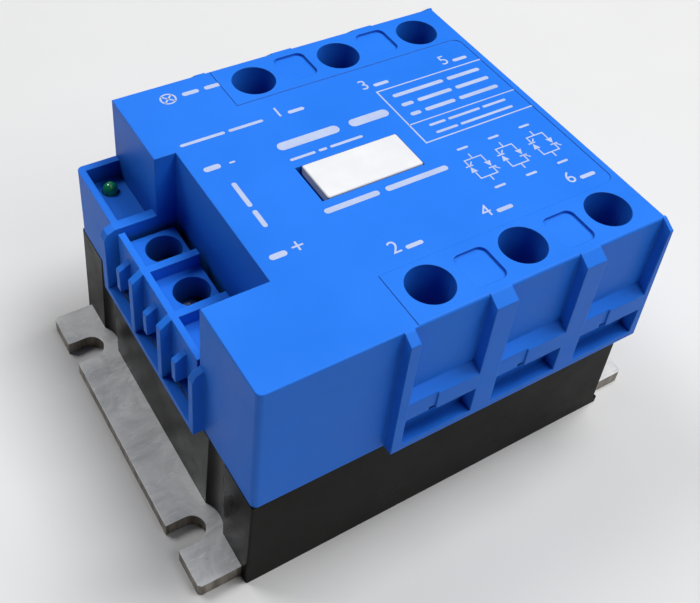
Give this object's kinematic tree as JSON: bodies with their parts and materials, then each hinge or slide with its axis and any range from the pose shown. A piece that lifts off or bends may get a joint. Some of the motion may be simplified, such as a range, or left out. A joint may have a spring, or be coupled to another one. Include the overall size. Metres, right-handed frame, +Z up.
{
  "type": "solid state relay",
  "caption": "Panel-mount three-phase solid state relay: blue cover with deep screw wells and ribbed wire entries, black housing, notched aluminium base plate.",
  "frame": {"origin": "centre of the base plate's underside", "axes": "+X along the three phases, away from the control terminals; +Y towards the line terminals; +Z up"},
  "size_m": [0.103, 0.0796, 0.0567],
  "materials": {
    "blue_cover": "satin moulded",
    "blue_block": "satin moulded",
    "black_housing": "semi-gloss moulded",
    "aluminium_plate": "rolled, faintly mottled",
    "white_tag": "smooth",
    "lamp_green": "clear tinted",
    "zinc_steel": "zinc plated",
    "plated_steel": "zinc plated",
    "copper": "tin-flashed copper",
    "contact_brass": "bright",
    "tinned_wire": "tinned",
    "ceramic": "fired",
    "silicon": "polished",
    "board_green": "solder-masked laminate",
    "chip_black": "moulded epoxy",
    "varistor_blue": "dipped epoxy",
    "capacitor_yellow": "moulded box",
    "resistor_grey": "flameproof coat",
    "gel": "soft clear silicone"
  },
  "bodies": {
    "root": {"base_plate": "aluminium_plate", "base_screws": "zinc_steel", "board_screws": "zinc_steel", "ceramic_tile_1": "ceramic", "ceramic_tile_2": "ceramic", "ceramic_tile_3": "ceramic", "circuit_board": "board_green", "control_contacts": "contact_brass", "control_nuts": "plated_steel", "control_terminal_block": "blue_block", "die_clips_1": "copper", "die_clips_2": "copper", "die_clips_3": "copper", "gate_leads": "tinned_wire", "input_parts": "chip_black", "lamp_leads": "tinned_wire", "lower_housing": "black_housing", "marker_tag": "white_tag", "opto_triacs": "chip_black", "potting_gel": "gel", "power_nuts": "plated_steel", "snubber_capacitors": "capacitor_yellow", "snubber_resistors": "resistor_grey", "status_lamp": "lamp_green", "terminal_bar_L1": "copper", "terminal_bar_L2": "copper", "terminal_bar_L3": "copper", "terminal_bar_T1": "copper", "terminal_bar_T2": "copper", "terminal_bar_T3": "copper", "thyristor_dies_1": "silicon", "thyristor_dies_2": "silicon", "thyristor_dies_3": "silicon", "tile_copper_1": "copper", "tile_copper_2": "copper", "tile_copper_3": "copper", "top_cover": "blue_cover", "varistors": "varistor_blue"},
    "clamp_T1": {"clamp_plate_T1": "plated_steel"},
    "screw_T1": {"terminal_screw_T1": "zinc_steel"},
    "clamp_T2": {"clamp_plate_T2": "plated_steel"},
    "screw_T2": {"terminal_screw_T2": "zinc_steel"},
    "clamp_T3": {"clamp_plate_T3": "plated_steel"},
    "screw_T3": {"terminal_screw_T3": "zinc_steel"},
    "clamp_L1": {"clamp_plate_L1": "plated_steel"},
    "screw_L1": {"terminal_screw_L1": "zinc_steel"},
    "clamp_L2": {"clamp_plate_L2": "plated_steel"},
    "screw_L2": {"terminal_screw_L2": "zinc_steel"},
    "clamp_L3": {"clamp_plate_L3": "plated_steel"},
    "screw_L3": {"terminal_screw_L3": "zinc_steel"},
    "clamp_control_minus": {"control_clamp_minus": "plated_steel"},
    "screw_control_minus": {"control_screw_minus": "zinc_steel"},
    "clamp_control_spare": {"control_clamp_spare": "plated_steel"},
    "screw_control_spare": {"control_screw_spare": "zinc_steel"},
    "clamp_control_plus": {"control_clamp_plus": "plated_steel"},
    "screw_control_plus": {"control_screw_plus": "zinc_steel"}
  },
  "joints": [
    {"name": "clamp_T1_lift", "type": "slide", "parent": "root", "child": "clamp_T1", "axis": [0, 0, 1], "range_m": [0, 0.0048]},
    {"name": "screw_T1_turn", "type": "hinge", "parent": "clamp_T1", "child": "screw_T1", "pos_m": [-0.0062, -0.0309, 0.0286], "axis": [0, 0, 1], "range_deg": [0, 2162]},
    {"name": "clamp_T2_lift", "type": "slide", "parent": "root", "child": "clamp_T2", "axis": [0, 0, 1], "range_m": [0, 0.0048]},
    {"name": "screw_T2_turn", "type": "hinge", "parent": "clamp_T2", "child": "screw_T2", "pos_m": [0.0138, -0.0309, 0.0286], "axis": [0, 0, 1], "range_deg": [0, 2162]},
    {"name": "clamp_T3_lift", "type": "slide", "parent": "root", "child": "clamp_T3", "axis": [0, 0, 1], "range_m": [0, 0.0048]},
    {"name": "screw_T3_turn", "type": "hinge", "parent": "clamp_T3", "child": "screw_T3", "pos_m": [0.0338, -0.0309, 0.0286], "axis": [0, 0, 1], "range_deg": [0, 2162]},
    {"name": "clamp_L1_lift", "type": "slide", "parent": "root", "child": "clamp_L1", "axis": [0, 0, 1], "range_m": [0, 0.0048]},
    {"name": "screw_L1_turn", "type": "hinge", "parent": "clamp_L1", "child": "screw_L1", "pos_m": [-0.0062, 0.0309, 0.0286], "axis": [0, 0, 1], "range_deg": [0, 2162]},
    {"name": "clamp_L2_lift", "type": "slide", "parent": "root", "child": "clamp_L2", "axis": [0, 0, 1], "range_m": [0, 0.0048]},
    {"name": "screw_L2_turn", "type": "hinge", "parent": "clamp_L2", "child": "screw_L2", "pos_m": [0.0138, 0.0309, 0.0286], "axis": [0, 0, 1], "range_deg": [0, 2162]},
    {"name": "clamp_L3_lift", "type": "slide", "parent": "root", "child": "clamp_L3", "axis": [0, 0, 1], "range_m": [0, 0.0048]},
    {"name": "screw_L3_turn", "type": "hinge", "parent": "clamp_L3", "child": "screw_L3", "pos_m": [0.0338, 0.0309, 0.0286], "axis": [0, 0, 1], "range_deg": [0, 2162]},
    {"name": "clamp_control_minus_lift", "type": "slide", "parent": "root", "child": "clamp_control_minus", "axis": [0, 0, 1], "range_m": [0, 0.003]},
    {"name": "screw_control_minus_turn", "type": "hinge", "parent": "clamp_control_minus", "child": "screw_control_minus", "pos_m": [-0.0351, 0.012, 0.0284], "axis": [0, 0, 1], "range_deg": [0, 2162]},
    {"name": "clamp_control_spare_lift", "type": "slide", "parent": "root", "child": "clamp_control_spare", "axis": [0, 0, 1], "range_m": [0, 0.003]},
    {"name": "screw_control_spare_turn", "type": "hinge", "parent": "clamp_control_spare", "child": "screw_control_spare", "pos_m": [-0.0351, 0, 0.0284], "axis": [0, 0, 1], "range_deg": [0, 2162]},
    {"name": "clamp_control_plus_lift", "type": "slide", "parent": "root", "child": "clamp_control_plus", "axis": [0, 0, 1], "range_m": [0, 0.003]},
    {"name": "screw_control_plus_turn", "type": "hinge", "parent": "clamp_control_plus", "child": "screw_control_plus", "pos_m": [-0.0351, -0.012, 0.0284], "axis": [0, 0, 1], "range_deg": [0, 2162]}
  ],
  "couplings": [
    {"joint": "screw_T1_turn", "follows": "clamp_T1_lift", "rad_per_m": 7854},
    {"joint": "screw_T2_turn", "follows": "clamp_T2_lift", "rad_per_m": 7854},
    {"joint": "screw_T3_turn", "follows": "clamp_T3_lift", "rad_per_m": 7854},
    {"joint": "screw_L1_turn", "follows": "clamp_L1_lift", "rad_per_m": 7854},
    {"joint": "screw_L2_turn", "follows": "clamp_L2_lift", "rad_per_m": 7854},
    {"joint": "screw_L3_turn", "follows": "clamp_L3_lift", "rad_per_m": 7854},
    {"joint": "screw_control_minus_turn", "follows": "clamp_control_minus_lift", "rad_per_m": 12566},
    {"joint": "screw_control_spare_turn", "follows": "clamp_control_spare_lift", "rad_per_m": 12566},
    {"joint": "screw_control_plus_turn", "follows": "clamp_control_plus_lift", "rad_per_m": 12566}
  ]
}
